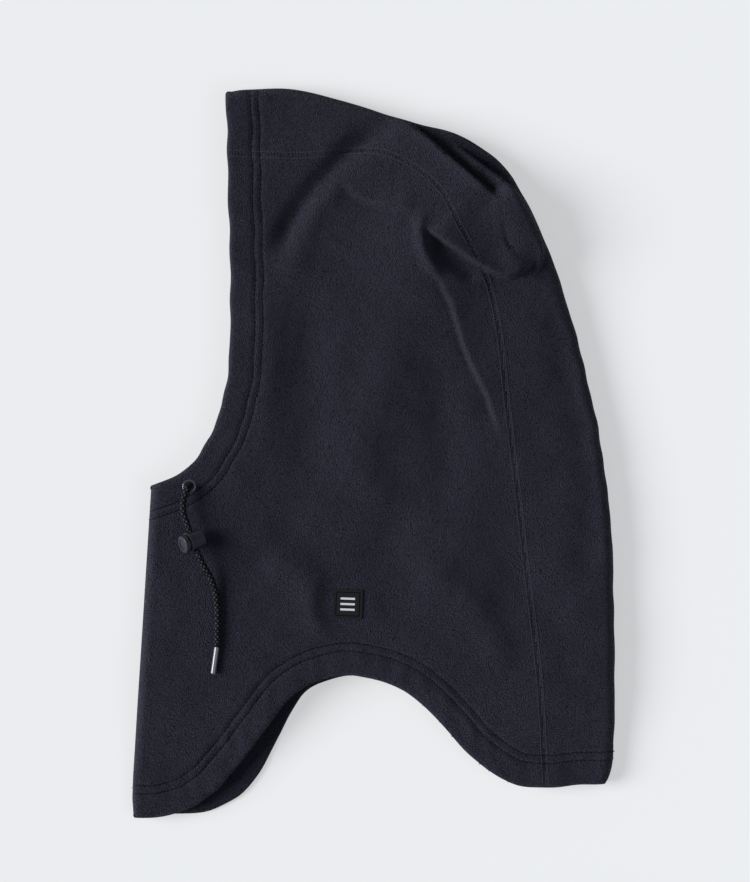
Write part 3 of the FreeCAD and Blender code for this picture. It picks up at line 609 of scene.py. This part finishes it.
def flat_seam(upper, pitch=1.75, slant=0.5, rung_radius=0.07, row_radius=0.18):
    """The flat-lock stitching of the crown seam on one layer: rungs between two rows."""
    row_reach, row_lift = 0.45 * pitch, 0.05
    points, along = spaced(LINES["seam"], pitch)
    use = kept_on_cloth(points, upper, 1.0)
    if upper:
        tucked = (points[:, 1] > TUCKED_FROM) & (points[:, 1] < TUCKED_TO)
        use &= ~tucked
    points, along = points[use], along[use]
    across = np.stack([along[:, 1], -along[:, 0]], axis=1)
    half = SEAM_WIDTH / 2
    lift = SEAM_LIFT if upper else SEAM_LIFT_BELOW
    grains = stitches(points, across * half + along * slant, upper, lift, rung_radius)
    for side in (-half, half):
        grains += stitches(points + across * side, along * row_reach, upper, lift + row_lift, row_radius)
    return grains


def label_row(pitch=2.0, length=1.5, radius=0.22):
    """The stitches round the label."""
    half = LABEL_ROW
    turn = math.radians(LABEL_TURN)
    corners = np.array([(-half, -half), (half, -half), (half, half), (-half, half), (-half, -half)])
    rotation = np.array([[math.cos(turn), -math.sin(turn)], [math.sin(turn), math.cos(turn)]])
    line = corners @ rotation.T + LABEL_PLACE
    grains = []
    for side in zip(line, line[1:]):
        for middle, direction in zip(*spaced(np.array(side), pitch)):
            reach = direction * length / 2
            start, end = ((*place, LABEL_ROW_HEIGHT) for place in (middle - reach, middle + reach))
            grains.append((start, end, radius))
    return grains


# ---------------------------------------------------------------- the drawcord


def curved(points, step, per_span=24):
    """A dense line on the smooth curve that control points in millimetres steer."""
    points = [np.array(p, float) for p in points]
    line = []
    for i in range(1, len(points) - 1):
        start = points[0] if i == 1 else (points[i - 1] + points[i]) / 2
        end = points[-1] if i == len(points) - 2 else (points[i] + points[i + 1]) / 2
        for t in np.linspace(0, 1, per_span, endpoint=False):
            line.append((1 - t) ** 2 * start + 2 * t * (1 - t) * points[i] + t * t * end)
    line = np.array([*line, points[-1]])
    whole = running_length(line)[-1]
    return points_along(line, np.linspace(0, whole, round(whole / step) + 1))


def lock_pinch(place):
    """How much thinner the cord's radius is where the lock holds it."""
    return LOCK_GRIP * math.exp(-((np.linalg.norm(place - LOCK_CROSSING) / LOCK_GRIP_REACH) ** 2))


def round_cord(name, path, width, strands=8, sides=32, relief=0.24):
    """A braided cord along a path: a tube whose surface rises and falls with its crossing strands."""
    ahead = np.gradient(path, axis=0)
    ahead /= np.linalg.norm(ahead, axis=1)[:, None]
    across = np.cross(ahead[0], (1.0, 0.0, 0.0))
    turn = np.arange(sides) * math.tau / sides
    step = float(np.linalg.norm(path[1] - path[0]))
    cell = math.pi * width / strands
    rings = []
    for index, (place, direction) in enumerate(zip(path, ahead)):
        across = across - direction * (across @ direction)
        across /= np.linalg.norm(across)
        other = np.cross(direction, across)
        one = turn / math.tau * strands + index * step / cell
        two = turn / math.tau * strands - index * step / cell
        over = (np.floor(one) + np.floor(two)) % 2
        bulge = np.where(over == 0, np.sin(np.pi * (one % 1)), np.sin(np.pi * (two % 1)))
        radius = width / 2 - relief * (1 - bulge) - lock_pinch(place)
        circle = np.outer(np.cos(turn), across) + np.outer(np.sin(turn), other)
        rings.append(place + circle * radius[:, None])
    flecks = []
    for k in range(len(path) - 1):
        for i in range(sides):
            one = (i + 0.5) / sides * strands + (k + 0.5) * step / cell
            two = (i + 0.5) / sides * strands - (k + 0.5) * step / cell
            over = (math.floor(one) + math.floor(two)) % 2
            flecks.append(over == 0 and math.floor(one) % 2 == 0)
    walls, ends = tube_faces(len(path), sides)
    item = make_mesh(name, np.vstack(rings), walls + ends)
    item.data.materials.append(braid)
    item.data.materials.append(braid_fleck)
    for face, fleck in zip(item.data.polygons, flecks):
        face.material_index = int(fleck)
    return item


def free_cord_points():
    """Control points of the free cord, from the hem through the eyelet and the lock to the tip."""
    joint, crossing = Vector(CORD_JOINT), Vector(LOCK_CROSSING)
    heading = math.radians(LOCK_HEADING)
    direction = Vector((-math.sin(heading), math.cos(heading), 0))
    points = [joint, joint + Vector((0, 0, CORD_RISE))]
    points += [Vector((x, y, FRONT + z)) for x, y, z in CORD_TO_LOCK]
    points += [crossing - direction * STRAIGHT_BEFORE_LOCK, crossing + direction * STRAIGHT_AFTER_LOCK]
    points += [Vector((x, y, FRONT + z)) for x, y, z in CORD_TO_TIP]
    return points


def hem_cord_points():
    """Control points of the cord in the hem, up the upper layer's hem and down the lower layer's."""
    joint = Vector(CORD_JOINT)
    points = [joint, Vector((joint.x, joint.y, HEM_CORD_ABOVE))]
    points += [Vector((x, y, HEM_CORD_ABOVE)) for x, y in CORD_IN_HEM]
    points += [Vector((*HEM_CORD_PASSING, height)) for height in (HEM_CORD_ABOVE, HEM_CORD_BELOW)]
    points += [Vector((x, y, HEM_CORD_BELOW)) for x, y in reversed(CORD_IN_HEM)]
    points.append(Vector((*HEM_CORD_END, HEM_CORD_BELOW)))
    return points


# ---------------------------------------------------------------- materials


def material(name, colour, roughness, metallic=0.0, sheen=0.0, sheen_colour=(1, 1, 1), specular=0.5):
    """A Principled material with constant values."""
    made = bpy.data.materials.new(name)
    made.use_nodes = True
    shader = made.node_tree.nodes["Principled BSDF"]
    shader.inputs["Base Color"].default_value = (*colour, 1)
    shader.inputs["Roughness"].default_value = roughness
    shader.inputs["Metallic"].default_value = metallic
    shader.inputs["Sheen Weight"].default_value = sheen
    shader.inputs["Sheen Roughness"].default_value = 0.45
    shader.inputs["Sheen Tint"].default_value = (*sheen_colour, 1)
    shader.inputs["Specular IOR Level"].default_value = specular
    return made


def add_bump(made, layers, distance):
    """Adds noise bumps to a material, each layer given as (scale, detail, strength)."""
    nodes, links = made.node_tree.nodes, made.node_tree.links
    shader = nodes["Principled BSDF"]
    place = nodes.new("ShaderNodeTexCoord")
    normal = None
    for scale, detail, strength in layers:
        noise = nodes.new("ShaderNodeTexNoise")
        noise.inputs["Scale"].default_value = scale
        noise.inputs["Detail"].default_value = detail
        bump = nodes.new("ShaderNodeBump")
        bump.inputs["Strength"].default_value = strength
        bump.inputs["Distance"].default_value = distance
        links.new(place.outputs["Object"], noise.inputs["Vector"])
        links.new(noise.outputs["Fac"], bump.inputs["Height"])
        if normal is not None:
            links.new(normal, bump.inputs["Normal"])
        normal = bump.outputs["Normal"]
    links.new(normal, shader.inputs["Normal"])


def paint(item, made):
    """Gives an object one material."""
    item.data.materials.clear()
    item.data.materials.append(made)


fleece = material(
    "fleece", (0.0192, 0.0192, 0.0325), 0.95, sheen=0.1, sheen_colour=(0.7, 0.72, 0.85), specular=0.1
)
add_bump(fleece, [(900, 0.0, 0.6), (1800, 0.0, 1.0)], distance=0.0023)
thread = material("thread", (0.003, 0.003, 0.0055), 0.9, specular=0.1)
seam_thread = material("seam_thread", (0.045, 0.048, 0.066), 0.9, specular=0.1)
braid = material("braid", (0.0016, 0.0016, 0.0028), 0.8, specular=0.1)
braid_fleck = material("braid_fleck", (0.04, 0.04, 0.05), 0.8, specular=0.1)
lock_plastic = material("lock_plastic", (0.016, 0.018, 0.026), 0.36, specular=0.4)
dark_metal = material("dark_metal", (0.2, 0.2, 0.21), 0.25, metallic=1.0)
tip_metal = material("tip_metal", (0.17, 0.17, 0.19), 0.38, metallic=0.6)
spring_steel = material("spring_steel", (0.45, 0.45, 0.45), 0.3, metallic=1.0)
label_rubber = material("label_rubber", (0.004, 0.004, 0.006), 0.7, specular=0.2)
mark_paint = material("mark", (0.5, 0.51, 0.55), 0.6, specular=0.2)
floor_paint = material("floor", (0.32, 0.325, 0.33), 0.9, specular=0.1)
# The floor glows a little, which keeps the hood's shadow on it faint.
floor_shader = floor_paint.node_tree.nodes["Principled BSDF"]
floor_shader.inputs["Emission Color"].default_value = (0.97, 0.985, 1.0, 1)
floor_shader.inputs["Emission Strength"].default_value = 0.5


# ---------------------------------------------------------------- the hood

# The edge and the needle row of each stitching node.
ROW_NODES = {
    "face_hem_outer_row": ("face", "outer"),
    "face_hem_inner_row": ("face", "inner"),
    "neck_hem_outer_row": ("neck", "outer"),
    "neck_hem_inner_row": ("neck", "inner"),
}

main_cloth, centre_cloth = fleece_panels()
for cloth, node in ((main_cloth, "main_panel"), (centre_cloth, "centre_panel")):
    paint(cloth, fleece)
    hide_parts(node)
    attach(cloth, "hood")

sewn = {}
for node, (edge, row) in ROW_NODES.items():
    grains = []
    for upper in (True, False):
        line = edge if edge == "face" else neck_line(upper)
        grains += needle_row(line, NEEDLE_ROWS[row], upper)
    sewn[node] = thread_mesh(node + "_thread", grains)
sewn["crown_seam_left"] = thread_mesh("crown_seam_left_thread", flat_seam(True))
sewn["crown_seam_right"] = thread_mesh("crown_seam_right_thread", flat_seam(False))
sewn["label_stitching"] = thread_mesh("label_stitching_thread", label_row())
for node, item in sewn.items():
    paint(item, seam_thread if node.startswith("crown_seam") else thread)
    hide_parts(node)
    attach(item, "hood")

free_path = curved(free_cord_points(), FREE_CORD_STEP)
hem_path = curved(hem_cord_points(), HEM_CORD_STEP)
free_cord = round_cord("free_cord", free_path, BRAID_WIDTH)
hem_cord = round_cord("hem_cord", hem_path, CORD_WIDTH, sides=16, relief=0.0)
for item, node in ((free_cord, "drawcord_free_end"), (hem_cord, "drawcord_in_hem")):
    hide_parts(node)
    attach(item, "hood")

# Nodes that keep the CAD's shape, and their materials.
HARD_LOOK = {
    "eyelet": dark_metal,
    "eyelet_washer": dark_metal,
    "cord_lock_barrel": lock_plastic,
    "cord_lock_button": lock_plastic,
    "cord_lock_spring": spring_steel,
    "cord_tip": tip_metal,
    "label": label_rubber,
    "label_mark": mark_paint,
}
for node, made in HARD_LOOK.items():
    paint(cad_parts[node], made)

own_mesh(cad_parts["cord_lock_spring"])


# ---------------------------------------------------------------- floor, light and camera


def aimed_light(name, kind, place, power):
    """The data of a new light that shines at the middle of the floor."""
    data = bpy.data.lights.new(name, kind)
    data.energy = power
    item = bpy.data.objects.new(name, data)
    item.location = place
    item.rotation_euler = (-Vector(place)).to_track_quat("-Z", "Y").to_euler()
    bpy.context.scene.collection.objects.link(item)
    return data


bpy.ops.mesh.primitive_plane_add(size=8, location=(0, 0, 0))
floor = bpy.context.active_object
floor.name = "floor"
paint(floor, floor_paint)

key = aimed_light("key", "SUN", (-1.65, 0.02, 1.05), 4.6)
key.angle = 0.6
fill = aimed_light("fill", "AREA", (1.6, -1.0, 2.6), 16)
fill.shape = "DISK"
fill.size = 2.0
fill.color = (0.95, 0.97, 1.0)

world = bpy.data.worlds.new("world")
world.use_nodes = True
background = world.node_tree.nodes["Background"]
background.inputs["Color"].default_value = (0.86, 0.9, 1.0, 1)
background.inputs["Strength"].default_value = 0.22
bpy.context.scene.world = world

camera_data = bpy.data.cameras.new("camera")
camera_data.sensor_width = 36
camera_data.lens = 139.5
camera_data.clip_start = 0.05
camera_data.clip_end = 30
camera = bpy.data.objects.new("camera", camera_data)
camera.location = (0.0003, 0.0076, 2.0 + FRONT * MM)
bpy.context.scene.collection.objects.link(camera)
bpy.context.scene.camera = camera
bpy.context.scene.view_settings.view_transform = "Standard"
